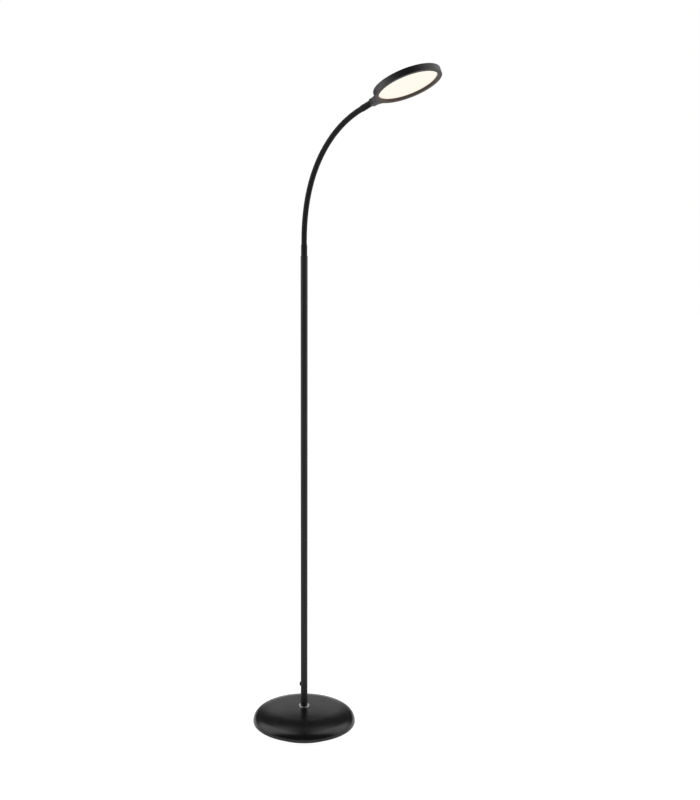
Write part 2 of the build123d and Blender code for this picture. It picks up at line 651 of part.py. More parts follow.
# ---- Lead -------------------------------------------------------------------------------------
def lead():
    """The lead from the driver board up the pole, through the neck and to the strip in the head."""
    places = stations()
    edges = [Line((0, 0, BOARD_TOP + SLIDE_GAP), (0, 0, places[0][1]))]
    for index, (start, end) in enumerate(zip(places, places[1:])):
        centre = Vector(start[0], 0, start[1]) + along(start[2] - 90) * bend_radius(index)
        middle = centre + along((start[2] + end[2]) / 2 + 90) * bend_radius(index)
        edges.append(ThreePointArc((start[0], 0, start[1]), middle, (end[0], 0, end[1])))
    x, z, heading = places[-1]
    in_head = (TONGUE_END - STRIP_BACK) / math.cos(math.radians(HEAD_NOD))
    reach = UPPER_END_LENGTH + SEAT_STEP + in_head - SLIDE_GAP
    edges.append(Line((x, 0, z), Vector(x, 0, z) + along(heading) * reach))
    section = Pos(0, 0, BOARD_TOP + SLIDE_GAP) * Circle(LEAD_RADIUS)
    return sweep(section, Wire(edges))


# ---- All pieces -------------------------------------------------------------------------------
def base_pieces():
    """The base and the collar on it."""
    return {
        "base_cover": base_cover(),
        "base_weight": base_weight(),
        "base_plate": base_plate(),
        "base_plate_screws": base_plate_screws(),
        "base_pad": base_pad(),
        "base_washer": base_washer(),
        "base_nut": base_nut(),
        "base_stud": base_stud(),
        "collar_ring": collar_ring(),
    }


def pole_pieces():
    """The pole with its joiners, power inlet and driver."""
    return {
        "pole_lower": pole_lower(),
        "pole_middle": pole_section(FIRST_JOINT),
        "pole_upper": pole_section(SECOND_JOINT),
        "pole_foot_insert": threaded_insert(POLE_FOOT, STUD_GRIP),
        "lower_joiner_stud": joiner_stud(FIRST_JOINT),
        "lower_joiner_insert": threaded_insert(FIRST_JOINT, JOINER_REACH),
        "upper_joiner_stud": joiner_stud(SECOND_JOINT),
        "upper_joiner_insert": threaded_insert(SECOND_JOINT, JOINER_REACH),
        "pole_top_insert": pole_top_insert(),
        "inlet_housing": inlet_housing(),
        "inlet_pin": inlet_pin(),
        "inlet_wires": inlet_wires(),
        "driver_board": driver_board(),
        "lead": lead(),
    }


def neck_pieces():
    """The neck from its lower ferrule to its upper one."""
    pieces = {
        "neck_lower_ferrule": Pos(0, 0, POLE_TOP) * ferrule(),
        "neck_lower_core": lower_end(end_core(LOWER_END_LENGTH), CORE_RADIUS, CORE_BORE),
        "neck_lower_sleeve": lower_end(end_sleeve(LOWER_END_LENGTH), NECK_RADIUS, SLEEVE_BORE),
        "neck_upper_ferrule": upper_seat() * ferrule(),
        "neck_upper_core": upper_end(end_core(UPPER_END_LENGTH)),
        "neck_upper_sleeve": upper_end(end_sleeve(UPPER_END_LENGTH)),
    }
    for index in range(LINK_COUNT):
        pieces[f"neck_core_{index + 1:02d}"] = neck_core(index)
        pieces[f"neck_sleeve_{index + 1:02d}"] = neck_sleeve(index)
    return pieces


def head_pieces():
    """The lamp head, placed at the end of the neck."""
    pieces = {
        "head_housing": head_housing(),
        "head_bezel": head_bezel(),
        "diffuser": diffuser(),
        "light_guide": light_guide(),
        "reflector_sheet": reflector_sheet(),
        "led_strip": led_strip(),
        "led_chips": led_chips(),
        "back_plate": back_plate(),
        "foam_pads": foam_pads(),
        "neck_set_screw": neck_set_screw(),
    }
    plane = head_plane()
    return {name: plane.location * piece for name, piece in pieces.items()}


def main():
    """Write each piece to its own file, and print where the pivots and the head are."""
    os.makedirs("parts", exist_ok=True)
    pieces = {**base_pieces(), **pole_pieces(), **neck_pieces(), **head_pieces()}
    for name, piece in pieces.items():
        export_step(piece, f"parts/{name}.step")
    for number, (x, z, heading) in enumerate(stations(), 1):
        print(f"pivot {number}: x {x:.4f}, z {z:.4f}, heading {heading:.3f}")
    centre = head_plane().origin
    print(f"head rim centre: x {centre.X:.4f}, z {centre.Z:.4f}")
    print(f"lead volume {pieces['lead'].volume:.1f}")


main()
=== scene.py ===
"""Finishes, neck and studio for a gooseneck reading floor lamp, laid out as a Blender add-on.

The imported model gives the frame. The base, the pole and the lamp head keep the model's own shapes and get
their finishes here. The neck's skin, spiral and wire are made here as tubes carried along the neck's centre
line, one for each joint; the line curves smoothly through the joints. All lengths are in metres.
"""

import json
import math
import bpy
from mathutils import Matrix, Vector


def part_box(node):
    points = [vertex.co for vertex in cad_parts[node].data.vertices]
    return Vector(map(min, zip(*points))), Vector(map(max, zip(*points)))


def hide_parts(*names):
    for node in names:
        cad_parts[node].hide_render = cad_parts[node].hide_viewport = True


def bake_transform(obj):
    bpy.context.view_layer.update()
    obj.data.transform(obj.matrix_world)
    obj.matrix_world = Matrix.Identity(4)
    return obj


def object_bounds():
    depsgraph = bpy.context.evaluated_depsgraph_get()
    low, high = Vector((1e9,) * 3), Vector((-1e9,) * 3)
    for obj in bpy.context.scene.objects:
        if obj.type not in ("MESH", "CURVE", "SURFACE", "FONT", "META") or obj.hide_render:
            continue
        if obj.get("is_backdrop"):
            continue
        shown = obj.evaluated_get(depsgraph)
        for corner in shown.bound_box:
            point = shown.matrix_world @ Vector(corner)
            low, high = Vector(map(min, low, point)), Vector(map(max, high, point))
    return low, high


bl_info = {
    "name": "Gooseneck Reading Lamp",
    "version": (1, 0, 0),
    "blender": (4, 5, 0),
    "location": "3D View > Sidebar > Lamp",
    "description": "Finishes, neck and studio for a gooseneck reading floor lamp",
    "category": "Object",
}

import bpy
import numpy as np
from bpy.props import FloatProperty, FloatVectorProperty, IntProperty, PointerProperty

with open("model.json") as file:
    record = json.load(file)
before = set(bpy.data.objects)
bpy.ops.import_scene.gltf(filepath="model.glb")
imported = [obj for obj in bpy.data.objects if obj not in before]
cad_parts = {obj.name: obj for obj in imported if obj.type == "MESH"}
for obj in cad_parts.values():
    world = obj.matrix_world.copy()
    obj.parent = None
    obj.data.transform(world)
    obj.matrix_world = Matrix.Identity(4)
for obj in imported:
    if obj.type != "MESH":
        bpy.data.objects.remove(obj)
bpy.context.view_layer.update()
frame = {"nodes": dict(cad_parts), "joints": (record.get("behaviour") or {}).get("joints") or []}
NODES = frame["nodes"]
JOINTS = frame["joints"]


# ---- Settings ---------------------------------------------------------------------------------
def colour(name, description, default):
    """A colour that a user may change."""
    return FloatVectorProperty(
        name=name, description=description, default=default, size=3, min=0, max=1, subtype="COLOR"
    )


def length(name, description, default):
    """A length that a user may change, in metres."""
    return FloatProperty(name=name, description=description, default=default, min=0, precision=5, unit="LENGTH")


def angle(name, description, degrees):
    """An angle that a user may change, given here in degrees."""
    return FloatProperty(name=name, description=description, default=math.radians(degrees), subtype="ANGLE")


def portion(name, description, default):
    """A share of one that a user may change."""
    return FloatProperty(name=name, description=description, default=default, min=0, max=1, subtype="FACTOR")


def level(name, description, default):
    """A brightness or a slope that a user may change."""
    return FloatProperty(name=name, description=description, default=default, min=0)


def count(name, description, default, least):
    """A count that a user may change."""
    return IntProperty(name=name, description=description, default=default, min=least)


class LampFinishes(bpy.types.PropertyGroup):
    """Colours of the lamp's outer pieces."""

    base_paint: colour("Base paint", "Satin paint on the base", (0.0046, 0.0045, 0.0043))
    pole_paint: colour("Pole paint", "Satin paint on the pole", (0.0072, 0.0072, 0.0074))
    neck_skin: colour("Neck skin", "Matte rubber on the neck", (0.0060, 0.0060, 0.0058))
    head_shell: colour("Head shell", "Moulded plastic of the lamp head", (0.0085, 0.0083, 0.0086))
    bezel: colour("Bezel", "Smoky plastic round the light panel", (0.050, 0.033, 0.027))
    panel_light: colour("Panel light", "Light of the panel", (1.0, 0.945, 0.83))
    panel_edge: colour("Panel edge", "Light at the very edge of the panel", (0.30, 0.15, 0.07))
    panel_strength: level("Panel strength", "How bright the panel looks", 0.94)
    panel_reach: length("Panel reach", "From the middle of the panel to where its edge turns amber", 0.0627)
    panel_fade: length("Panel fade", "Width of the amber edge", 0.0024)


class LampNeck(bpy.types.PropertyGroup):
    """Sizes of the neck's skin, spiral and wire."""

    skin_radius: length("Skin radius", "Outside of the skin between its flared ends", 0.0062)
    flare_radius: length("Flare radius", "Outside of the skin where it covers a ferrule", 0.0070)
    flare_length: length("Flare length", "Length of each flared end", 0.02305)
    flare_taper: length("Flare taper", "Length over which a flared end narrows", 0.0026)
    skin_wall: length("Skin wall", "Wall of the skin", 0.0012)
    end_gap: length("End gap", "Between the skin and what it stands against", 0.0001)
    lip_rounding: length("Lip rounding", "Rounding at each end of the skin", 0.0005)
    head_reach: length("Head reach", "From the last joint to the lamp head", 0.028)
    spiral_radius: length("Spiral radius", "Outside of the wound steel", 0.00495)
    spiral_bore: length("Spiral bore", "Inside of the wound steel", 0.00315)
    spiral_pitch: length("Spiral pitch", "Distance from one turn of the winding to the next", 0.0024)
    spiral_depth: length("Spiral depth", "Depth of the groove between turns", 0.00045)
    ferrule_floor: length("Ferrule floor", "Where the spiral starts above the ferrule's bottom", 0.00205)
    wire_radius: length("Wire radius", "Outside of the wire", 0.0015)
    around: count("Faces around", "Faces round the skin", 56, 8)
    skin_rows: count("Skin rows", "Rows of points along the skin of each joint", 36, 4)
    lip_rows: count("Lip rows", "Rows of points over the rounding at each end of the skin", 7, 2)
    taper_rows: count("Taper rows", "Rows of points over the taper of each flared end", 9, 2)
    turn_rows: count("Turn rows", "Rows of points for each turn of the winding", 6, 4)
    wire_rows: count("Wire rows", "Least rows of points along the wire of each joint", 18, 2)
    wire_step: length("Wire step", "Greatest distance between two rows of the wire", 0.004)


class LampStudio(bpy.types.PropertyGroup):
    """Camera, softboxes, floor and background."""

    camera_place: FloatVectorProperty(
        name="Camera place", description="Where the camera stands", default=(1.1819, -1.9684, 1.047), unit="LENGTH"
    )
    camera_pitch: angle("Camera pitch", "How far the camera looks down", 6.78)
    camera_turn: angle("Camera turn", "Turn of the camera about the vertical", 30.98)
    lens: FloatProperty(name="Lens", description="Focal length", default=45.72, unit="CAMERA")
    sensor: FloatProperty(name="Sensor", description="Width of the sensor", default=36.0, unit="CAMERA")
    shift: FloatVectorProperty(
        name="Shift", description="Shift of the frame, sideways and up", default=(0.0573, 0.0006), size=2, precision=5
    )
    box_spread: angle("Softbox spread", "From the camera to each softbox", 94)
    box_rise: angle("Softbox rise", "Of each softbox above the horizon", 41)
    box_distance: length("Softbox distance", "From the foot of the lamp to each softbox", 2.2)
    box_width: length("Softbox width", "Width of each softbox", 2.2)
    box_tall: length("Softbox length", "Height of each softbox", 3.4)
    box_layers: count("Softbox layers", "Layers of light in each softbox", 4, 1)
    box_edge: portion("Softbox edge", "Share of its size over which a softbox fades", 0.30)
    box_depth: portion("Softbox depth", "Share of its distance over which a softbox's layers lie", 0.03)
    box_power: FloatProperty(name="Softbox power", description="Mean power of a softbox", default=33.0, unit="POWER")
    box_lean: portion("Softbox lean", "Share by which the left softbox is above the mean", 0.05)
    fill: level("Fill", "Even light from all round", 0.24)
    room: level("Room", "How bright the room beside the paper looks in the gloss", 0.07)
    paper: level("Paper", "How bright the paper behind looks in the gloss", 0.72)
    paper_foot: portion("Paper foot", "Brightness of the paper's foot as a share of its top", 0.2)
    paper_side: level("Paper side", "Slope to the side at which the paper has ended", 0.36)
    paper_side_fade: level("Paper side fade", "How much less that slope is where the paper begins to end", 0.16)
    paper_top: level("Paper top", "Upward slope at which the paper has ended", 0.68)
    paper_top_fade: level("Paper top fade", "How much less that slope is where the paper begins to end", 0.10)
    paper_full: level("Paper full", "Upward slope from which the paper is at its brightest", 0.55)
    floor_shade: portion("Floor shade", "How strongly the floor shows the lamp's shadow", 0.30)
    floor_seen: level("Floor seen", "Light of the floor to the camera", 0.96)
    floor_gloss: level("Floor gloss", "Light of the floor in the gloss", 0.62)
    floor_size: length("Floor size", "Side of the floor", 60.0)


# ---- Meshes from grids ------------------------------------------------------------------------
def tube_mesh(name, points, run, closed_loop):
    """A mesh from a grid of rings: row i is a ring round the path, column j is a place on that ring.

    Each face joins (i, j), (i+1, j), (i+1, j+1) and (i, j+1), so its outside is where the path's direction
    crossed with the ring's direction points. The columns always close on the first. Where closed_loop is
    true the last ring also joins the first, as on a walled tube; otherwise the end rings are capped. The UV
    map holds metres: along the path from run, and round the ring by its own radius.
    """
    rows, columns = points.shape[:2]
    row = np.arange(rows if closed_loop else rows - 1)[:, None]
    column = np.arange(columns)[None, :]
    after_row, after_column = (row + 1) % rows, (column + 1) % columns
    corners = [(row, column), (after_row, column), (after_row, after_column), (row, after_column)]
    faces = np.stack([i * columns + j for i, j in corners], -1).reshape(-1, 4)
    step = 2 * np.pi * np.linalg.norm(points - points.mean(1, keepdims=True), axis=-1).max() / columns
    shape = (row.size, columns)
    along = np.stack([np.broadcast_to(run[i], shape) for i in (row, after_row, after_row, row)], -1)
    around = np.stack([np.broadcast_to(j * step, shape) for j in (column, column, column + 1, column + 1)], -1)
    uvs = np.stack([around, along], -1).reshape(-1, 2)
    polygons = faces.tolist()
    if not closed_loop:
        polygons += [list(range(columns)), list(range((rows - 1) * columns, rows * columns))[::-1]]
        ends = points[[0, -1]].reshape(-1, 3)
        flat = ends[:, :2] - ends[:, :2].mean(0)
        flat[columns:] = flat[columns:][::-1]
        uvs = np.concatenate([uvs, flat])
    mesh = bpy.data.meshes.new(name)
    mesh.from_pydata(points.reshape(-1, 3).tolist(), [], polygons)
    layer = mesh.uv_layers.new(name="surface")
    layer.uv.foreach_set("vector", uvs.astype(np.float32).ravel())
    mesh.shade_smooth()
    mesh.set_sharp_from_angle(angle=math.radians(35))
    mesh.update()
    return mesh


def add_piece(mesh, material):
    """An object for a mesh that is already in its place."""
    mesh.materials.append(material)
    piece = bpy.data.objects.new(mesh.name, mesh)
    bpy.context.scene.collection.objects.link(piece)
    return piece


# ---- The neck's centre line -------------------------------------------------------------------
STEP_WIDTH = 0.00001            # length of the bore's step out over a ferrule
RUN_DECIMALS = 7                # rows whose runs agree so far are one row


def neck_knots(head_reach):
    """Run, place and heading where the neck's centre line changes its bend.

    The line is straight from the pole's top to the first joint, then one circular arc from each joint to the
    next, then straight to the lamp head. An arc's chord points midway between the headings at its ends, so
    each heading is twice the chord's less the one before. An arc is longer than its chord by half its turn
    over the sine of half its turn.
    """
    joints = np.array([joint["pos_m"] for joint in JOINTS])
    foot = np.array([0.0, 0.0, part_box("pole_upper")[1].z])
    chords = np.diff(joints, axis=0)
    lengths = np.linalg.norm(chords, axis=1)
    chord_headings = np.arctan2(chords[:, 2], chords[:, 0])
    signs = (-1.0) ** np.arange(len(chords))
    sums = np.concatenate([[0.0], np.cumsum(signs * 2 * chord_headings)])
    headings = (-1.0) ** np.arange(len(joints)) * (np.pi / 2 - sums)
    half_turns = np.diff(headings) / 2
    arcs = lengths / np.sinc(half_turns / np.pi)
    last = headings[-1]
    tip = joints[-1] + head_reach * np.array([np.cos(last), 0.0, np.sin(last)])
    places = np.concatenate([[foot], joints, [tip]])
    headings = np.concatenate([[np.pi / 2], headings, [last]])
    straight = joints[0, 2] - foot[2]
    runs = np.concatenate([[0.0, straight], straight + np.cumsum(arcs)])
    return np.append(runs, runs[-1] + head_reach), places, headings


def centre_line(run, knots):
    """Places and headings on the neck's centre line at given runs.

    Past a knot by a distance d, where the line has turned by t, the place is the knot plus d times sin(t/2)
    over t/2 along the mean of the two headings. Runs before the first knot or past the last go straight on.
    """
    runs, places, headings = knots
    span = np.clip(np.searchsorted(runs, run, side="right") - 1, 0, len(runs) - 2)
    past = run - runs[span]
    turn = (headings[span + 1] - headings[span]) * past / (runs[span + 1] - runs[span])
    middle = headings[span] + turn / 2
    reach = (past * np.sinc(turn / 2 / np.pi))[:, None]
    place = places[span] + reach * np.stack([np.cos(middle), 0 * middle, np.sin(middle)], -1)
    return place, headings[span] + turn


def rings(run, radius, columns, knots):
    """Rings round the centre line: each point is the centre plus the radius times (cos v across, sin v up).

    Across is -Y and up is square to the heading in the XZ plane, so the heading crossed with the way round
    the ring points outwards. The radius is a column of one value per ring, or one value for each point.
    """
    place, heading = centre_line(run, knots)
    v = 2 * np.pi * np.arange(columns) / columns
    across = np.array([0.0, -1.0, 0.0])
    up = np.stack([-np.sin(heading), 0 * heading, np.cos(heading)], -1)
    way = np.cos(v)[None, :, None] * across + np.sin(v)[None, :, None] * up[:, None, :]
    return place[:, None, :] + np.reshape(radius, (len(run), -1, 1)) * way


def joint_spans(knots):
    """For each joint, the run from the middle of the link below it to the middle of the link above it."""
    runs = knots[0]
    middles = (runs[1:-2] + runs[2:-1]) / 2
    return list(zip(np.append(runs[0], middles), np.append(middles, runs[-1])))


def span_pieces(kind):
    """For each joint, the names of the model's sleeves or cores whose place the new length there takes."""
    links = [[f"neck_{kind}_{number:02d}"] for number in range(1, len(JOINTS))]
    return [[f"neck_lower_{kind}", *links[0]], *links[1:], [f"neck_upper_{kind}"]]


def ride_joint(piece):
    """Bake the piece's placement into its mesh; the piece is not tied to the joint's bodies."""
    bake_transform(piece)


def skin_radius(run, total, neck):
    """Outside of the skin: flared over each ferrule, narrowing by a smooth step, with rounded lips.

    The lip's rounding takes away e times (1 - the square root of 1 - the square of the share still to go).
    """
    near = np.minimum(run, total - run)
    share = np.clip((near - neck.flare_length) / neck.flare_taper, 0, 1)
    radius = neck.flare_radius + (neck.skin_radius - neck.flare_radius) * share * share * (3 - 2 * share)
    to_go = np.clip(1 - (near - neck.end_gap) / neck.lip_rounding, 0, 1)
    return radius - neck.lip_rounding * (1 - np.sqrt(1 - to_go**2))


def skin_bore(run, total, neck):
    """Inside of the skin: a step out over each ferrule."""
    near = np.minimum(run, total - run)
    slack = neck.flare_radius - neck.skin_radius
    return neck.skin_radius - neck.skin_wall + slack * (near < neck.flare_length)


# ---- Shared effects ---------------------------------------------------------------------------
GRAIN_SCALE = 1500.0
CLOUD_SCALE = 18.0
COARSE_GRAIN = 0.21             # scale of the coarse grain as a share of the fine one's
FINE_SHARE = 0.6                # how much of the grain's height is the fine grain's
LINES_SCALE = 2200.0
UPRIGHT_LINES = (1.0, 1.0, 0.02)


def effect_group(name, inputs, outputs):
    """An empty shader node group with named number inputs and outputs."""
    group = bpy.data.node_groups.new(name, "ShaderNodeTree")
    for label, kind, default in inputs:
        socket = group.interface.new_socket(label, in_out="INPUT", socket_type=kind)
        if default is not None:
            socket.default_value = default
    for label in outputs:
        group.interface.new_socket(label, in_out="OUTPUT", socket_type="NodeSocketFloat")
    return group, group.nodes.new("NodeGroupInput"), group.nodes.new("NodeGroupOutput")


def math_node(tree, operation, first, second):
    """A Math node; each side is a socket or a number."""
    node = tree.nodes.new("ShaderNodeMath")
    node.operation = operation
    for side, value in enumerate((first, second)):
        if isinstance(value, bpy.types.NodeSocket):
            tree.links.new(value, node.inputs[side])
        else:
            node.inputs[side].default_value = value
    return node.outputs[0]


def noise_node(tree, vector, scale, detail=3.0, roughness=0.55):
    """A Noise Texture; the scale is a socket or a number."""
    node = tree.nodes.new("ShaderNodeTexNoise")
    node.inputs["Detail"].default_value = detail
    node.inputs["Roughness"].default_value = roughness
    tree.links.new(vector, node.inputs["Vector"])
    if isinstance(scale, bpy.types.NodeSocket):
        tree.links.new(scale, node.inputs["Scale"])
    else:
        node.inputs["Scale"].default_value = scale
    return node.outputs["Fac"]


def spread(tree, value, low, high):
    """A value stretched so that low becomes 0 and high becomes 1, and held there beyond them."""
    node = tree.nodes.new("ShaderNodeMapRange")
    node.inputs["From Min"].default_value = low
    node.inputs["From Max"].default_value = high
    tree.links.new(value, node.inputs["Value"])
    return node.outputs["Result"]


def grain_group():
    """Fine grain of paint, plastic or rubber: Height for a bump, Tone for slow changes, Speck for fine ones."""
    group, entry, out = effect_group(
        "surface_grain",
        [
            ("Vector", "NodeSocketVector", None),
            ("Grain", "NodeSocketFloat", GRAIN_SCALE),
            ("Cloud", "NodeSocketFloat", CLOUD_SCALE),
        ],
        ["Height", "Tone", "Speck"],
    )
    vector = entry.outputs["Vector"]
    coarse_scale = math_node(group, "MULTIPLY", entry.outputs["Grain"], COARSE_GRAIN)
    fine = noise_node(group, vector, entry.outputs["Grain"], detail=2.0)
    coarse = noise_node(group, vector, coarse_scale, detail=2.0)
    fine_part = math_node(group, "MULTIPLY", fine, FINE_SHARE)
    height = math_node(group, "ADD", fine_part, math_node(group, "MULTIPLY", coarse, 1 - FINE_SHARE))
    group.links.new(height, out.inputs["Height"])
    cloud = noise_node(group, vector, entry.outputs["Cloud"], detail=4.0)
    group.links.new(spread(group, cloud, 0.3, 0.7), out.inputs["Tone"])
    group.links.new(spread(group, fine, 0.35, 0.65), out.inputs["Speck"])
    return group


def drawn_group():
    """Lines left by drawing or turning: noise stretched along one direction by the Stretch vector."""
    group, entry, out = effect_group(
        "drawn_lines",
        [
            ("Vector", "NodeSocketVector", None),
            ("Stretch", "NodeSocketVector", UPRIGHT_LINES),
            ("Lines", "NodeSocketFloat", LINES_SCALE),
        ],
        ["Height", "Tone"],
    )
    squeeze = group.nodes.new("ShaderNodeVectorMath")
    squeeze.operation = "MULTIPLY"
    group.links.new(entry.outputs["Vector"], squeeze.inputs[0])
    group.links.new(entry.outputs["Stretch"], squeeze.inputs[1])
    lines = noise_node(group, squeeze.outputs[0], entry.outputs["Lines"], detail=2.0)
    group.links.new(lines, out.inputs["Height"])
    group.links.new(spread(group, lines, 0.35, 0.65), out.inputs["Tone"])
    return group


def dust_group():
    """A thin film of dust: the upward share of the surface, broken up by noise."""
    group, entry, out = effect_group(
        "dust_film", [("Vector", "NodeSocketVector", None), ("Patches", "NodeSocketFloat", 55.0)], ["Mask"]
    )
    shape = group.nodes.new("ShaderNodeNewGeometry")
    split = group.nodes.new("ShaderNodeSeparateXYZ")
    group.links.new(shape.outputs["Normal"], split.inputs[0])
    upward = spread(group, split.outputs["Z"], 0.2, 1.0)
    patches = noise_node(group, entry.outputs["Vector"], entry.outputs["Patches"], detail=6.0)
    group.links.new(math_node(group, "MULTIPLY", upward, spread(group, patches, 0.35, 0.75)), out.inputs["Mask"])
    return group


def shared(name, maker):
    """The group of that name, made the first time it is asked for."""
    return bpy.data.node_groups.get(name) or maker()


# ---- Materials --------------------------------------------------------------------------------
FINE_DEPTH = 0.00001            # depth of a very fine grain
GLOSS_SWING = 0.03              # how far the roughness of a coat goes up and down
METAL_SWING = 0.2               # the same for metal, as a share of its roughness
DUST_COLOUR = (0.35, 0.33, 0.30)
DUST_ROUGHNESS = 0.06
ZINC = (0.60, 0.61, 0.62)
BLACK_VINYL = (0.03, 0.03, 0.03)


def surface(tree, coordinates):
    """The coordinates that a pattern follows: the object's own, or the piece's UV map."""
    source = tree.nodes.new("ShaderNodeTexCoord")
    return source.outputs[coordinates]


def use_group(tree, group, vector, **values):
    """A group node with its vector linked and its own values."""
    node = tree.nodes.new("ShaderNodeGroup")
    node.node_tree = group
    tree.links.new(vector, node.inputs["Vector"])
    for label, value in values.items():
        node.inputs[label].default_value = value
    return node


def mix_colours(tree, factor, first, second):
    """A colour between two, by a factor that varies over the surface; each may be a socket."""
    node = tree.nodes.new("ShaderNodeMix")
    node.data_type = "RGBA"
    tree.links.new(factor, node.inputs["Factor"])
    for label, value in (("A", first), ("B", second)):
        socket = next(s for s in node.inputs if s.name == label and s.type == "RGBA")
        if isinstance(value, bpy.types.NodeSocket):
            tree.links.new(value, socket)
        else:
            socket.default_value = (*value, 1.0)
    return next(s for s in node.outputs if s.type == "RGBA")


def between(tree, factor, low, high):
    """A number between two, by a factor that varies over the surface."""
    node = tree.nodes.new("ShaderNodeMapRange")
    node.inputs["To Min"].default_value = low
    node.inputs["To Max"].default_value = high
    tree.links.new(factor, node.inputs["Value"])
    return node.outputs["Result"]


def bump(tree, height, strength, distance):
    """A bump from a height."""
    node = tree.nodes.new("ShaderNodeBump")
    node.inputs["Strength"].default_value = strength
    node.inputs["Distance"].default_value = distance
    tree.links.new(height, node.inputs["Height"])
    return node.outputs["Normal"]


def new_material(name):
    """A material with its tree and its Principled shader."""
    material = bpy.data.materials.new(name)
    material.use_nodes = True
    tree = material.node_tree
    return material, tree, tree.nodes["Principled BSDF"]


def shaded(value, factor):
    """A colour made lighter or darker."""
    return tuple(min(1.0, part * factor) for part in value)


def set_values(skin, **values):
    """Give the shader's sockets their values, with an underscore for each space in a socket's name."""
    for label, value in values.items():
        skin.inputs[label.replace("_", " ")].default_value = value


def coated(name, tone, roughness, grain=GRAIN_SCALE, depth=0.00002, contrast=0.12, dust=None, coordinates="Object",
           **shader):
    """Paint, plastic or rubber: slow changes of tone, fine grain in the bump and the gloss, and dust on top."""
    material, tree, skin = new_material(name)
    vector = surface(tree, coordinates)
    texture = use_group(tree, shared("surface_grain", grain_group), vector, Grain=grain, Cloud=CLOUD_SCALE)
    face = mix_colours(tree, texture.outputs["Tone"], shaded(tone, 1 - contrast), shaded(tone, 1 + contrast))
    rough = between(tree, texture.outputs["Speck"], roughness - GLOSS_SWING, roughness + GLOSS_SWING)
    if dust:
        film = use_group(tree, shared("dust_film", dust_group), vector)
        thin = math_node(tree, "MULTIPLY", film.outputs["Mask"], dust)
        face = mix_colours(tree, thin, face, DUST_COLOUR)
        rough = math_node(tree, "ADD", rough, math_node(tree, "MULTIPLY", film.outputs["Mask"], DUST_ROUGHNESS))
    tree.links.new(face, skin.inputs["Base Color"])
    tree.links.new(rough, skin.inputs["Roughness"])
    tree.links.new(bump(tree, texture.outputs["Height"], 0.5, depth), skin.inputs["Normal"])
    set_values(skin, **shader)
    return material


def metal(name, tone, roughness, stretch=UPRIGHT_LINES, lines=LINES_SCALE, contrast=0.06):
    """Bare or plated metal with drawn or turned lines."""
    material, tree, skin = new_material(name)
    drawn = use_group(tree, shared("drawn_lines", drawn_group), surface(tree, "Object"), Stretch=stretch, Lines=lines)
    tone_change = drawn.outputs["Tone"]
    face = mix_colours(tree, tone_change, shaded(tone, 1 - contrast), shaded(tone, 1 + contrast))
    tree.links.new(face, skin.inputs["Base Color"])
    rough = between(tree, tone_change, roughness * (1 - METAL_SWING), roughness * (1 + METAL_SWING))
    tree.links.new(rough, skin.inputs["Roughness"])
    tree.links.new(bump(tree, drawn.outputs["Height"], 0.3, FINE_DEPTH), skin.inputs["Normal"])
    set_values(skin, Metallic=1.0)
    return material


def glowing_panel(name, finishes):
    """Frosted diffuser: even warm light with the faint mottle of the frosting, amber at its very edge."""
    material, tree, skin = new_material(name)
    vector = surface(tree, "Object")
    texture = use_group(tree, shared("surface_grain", grain_group), vector, Grain=2600.0, Cloud=25.0)
    away = tree.nodes.new("ShaderNodeVectorMath")
    away.operation = "DISTANCE"
    low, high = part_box("diffuser")
    away.inputs[1].default_value = (low + high) / 2
    tree.links.new(vector, away.inputs[0])
    reach, light = finishes.panel_reach, tuple(finishes.panel_light)
    edge = spread(tree, away.outputs["Value"], reach, reach + finishes.panel_fade)
    even = mix_colours(tree, texture.outputs["Tone"], shaded(light, 0.985), light)
    tree.links.new(mix_colours(tree, edge, even, tuple(finishes.panel_edge)), skin.inputs["Emission Color"])
    face = mix_colours(tree, texture.outputs["Speck"], (0.06, 0.058, 0.052), (0.07, 0.067, 0.06))
    tree.links.new(face, skin.inputs["Base Color"])
    tree.links.new(bump(tree, texture.outputs["Height"], 0.3, FINE_DEPTH), skin.inputs["Normal"])
    set_values(skin, Roughness=0.6, Emission_Strength=finishes.panel_strength)
    return material


def clear_sheet(name):
    """Clear acrylic with faint ripples."""
    material, tree, skin = new_material(name)
    texture = use_group(tree, shared("surface_grain", grain_group), surface(tree, "Object"), Grain=300.0, Cloud=30.0)
    face = mix_colours(tree, texture.outputs["Tone"], (0.93, 0.95, 0.96), (0.97, 0.98, 0.985))
    tree.links.new(face, skin.inputs["Base Color"])
    tree.links.new(between(tree, texture.outputs["Speck"], 0.04, 0.08), skin.inputs["Roughness"])
    tree.links.new(bump(tree, texture.outputs["Height"], 0.1, FINE_DEPTH), skin.inputs["Normal"])
    set_values(skin, Transmission_Weight=1.0, IOR=1.49)
    return material


def dress(material, *names):
    """The named model pieces get this material in every slot."""
    for name in names:
        if name not in NODES:
            raise RuntimeError(f"the frame has no piece named {name}")
        piece = NODES[name]
        for slot in piece.material_slots:
            slot.material = material
        if not piece.material_slots:
            raise RuntimeError(f"{name} has no material slot")


# ---- Operators --------------------------------------------------------------------------------
class LampOperator:
    """What all the lamp's operators share."""

    bl_options = {"REGISTER", "UNDO"}


